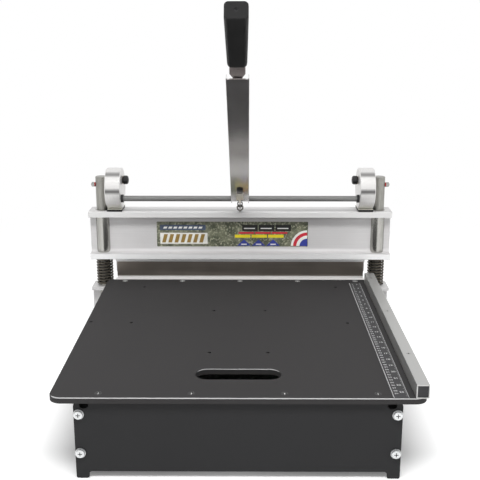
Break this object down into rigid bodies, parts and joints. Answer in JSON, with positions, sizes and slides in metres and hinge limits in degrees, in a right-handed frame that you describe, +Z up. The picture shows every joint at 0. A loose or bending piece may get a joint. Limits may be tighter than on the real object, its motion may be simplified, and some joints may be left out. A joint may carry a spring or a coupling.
{
  "type": "laminate cutter",
  "caption": "Bench shear for laminate boards: flat table with a fence, a blade beam on posts, and a long lever with cams that press the blade down.",
  "frame": {"origin": "centre of the footprint at the level it stands on", "axes": "+Z up, -Y towards the operator, +X to the operator's right where the fence is"},
  "size_m": [0.655, 0.6656, 0.7167],
  "materials": {
    "table_paint": "smooth dark charcoal powder coat",
    "base_paint": "satin near-black powder coat",
    "zinc": "bright zinc plate",
    "black_steel": "black oxide",
    "ruler_vinyl": "printed strip with white lines and plain numbers",
    "fence_aluminium": "brushed anodised tube",
    "black_plastic": "moulded plugs and pads",
    "rail_steel": "cold drawn bar",
    "anvil_steel": "ground bar",
    "beam_aluminium": "extruded, mill finish",
    "foot_rubber": "moulded rubber",
    "post_steel": "ground round bar",
    "bush_steel": "ground bearing sleeve",
    "bronze": "sintered bronze",
    "spring_steel": "bright spring wire",
    "holder_aluminium": "milled bar",
    "blade_steel": "dark hardened steel with a ground edge",
    "label_print": "printed label, plain bands and no words",
    "cam_steel": "turned steel",
    "red_fibre": "dark red fibre washer",
    "bar_steel": "bright round bar",
    "lever_steel": "brushed rectangular tube",
    "neck_steel": "dull flat bar",
    "grip_plastic": "dark moulded grip",
    "hook_steel": "pale tan plate"
  },
  "bodies": {
    "base": {"table_plate": "table_paint", "table_screws": "black_steel", "table_nuts": "zinc", "ruler_strip": "ruler_vinyl", "fence_tube": "fence_aluminium", "fence_screws": "zinc", "fence_plugs": "black_plastic", "front_panel": "base_paint", "right_side_panel": "base_paint", "left_side_panel": "base_paint", "panel_screws": "zinc", "panel_washers": "zinc", "panel_nuts": "zinc", "rear_rail": "rail_steel", "rail_screws": "black_steel", "anvil_bar": "anvil_steel", "anvil_bolts": "black_steel", "lower_beam": "beam_aluminium", "web_bolts": "black_steel", "web_nuts": "zinc", "rear_feet": "foot_rubber", "left_post": "post_steel", "right_post": "post_steel", "post_end_washers": "zinc", "post_end_screws": "black_steel", "left_spring": "spring_steel", "right_spring": "spring_steel", "pivot_screws": "black_steel", "post_studs": "zinc", "stud_washers": "red_fibre", "stud_nuts": "zinc"},
    "beam": {"post_bushes": "bush_steel", "upper_beam": "beam_aluminium", "blade_holder": "holder_aluminium", "blade": "blade_steel", "blade_bolts": "black_steel", "holder_bolts": "black_steel", "left_wear_pad": "black_plastic", "right_wear_pad": "black_plastic", "pad_screws": "black_steel", "beam_label": "label_print", "eye_screw": "zinc", "eye_washer": "zinc"},
    "lever": {"left_cam": "cam_steel", "right_cam": "cam_steel", "cam_bushes": "bronze", "cross_bar": "bar_steel", "bar_collars": "black_steel", "lever_tube": "lever_steel", "lever_neck": "neck_steel", "neck_screws": "black_steel", "grip": "grip_plastic", "grip_screw": "black_steel"},
    "lock": {"small_link": "zinc", "large_link": "zinc", "lock_hook": "hook_steel"}
  },
  "joints": [
    {"name": "beam_slide", "type": "slide", "parent": "base", "child": "beam", "axis": [0, 0, 1], "range_m": [0, 0.01781], "deforming": ["left_spring", "right_spring"]},
    {"name": "lever_swing", "type": "hinge", "parent": "base", "child": "lever", "pos_m": [0, 0.29192, 0.355], "axis": [-1, 0, 0], "range_deg": [0, 85]},
    {"name": "lock_swing", "type": "hinge", "parent": "beam", "child": "lock", "pos_m": [0, 0.27082, 0.3043], "axis": [1, 0, 0], "range_deg": [0, 40]}
  ],
  "couplings": [
    {"joint": "beam_slide", "follows": "lever_swing", "m_per_rad": 0.012}
  ]
}
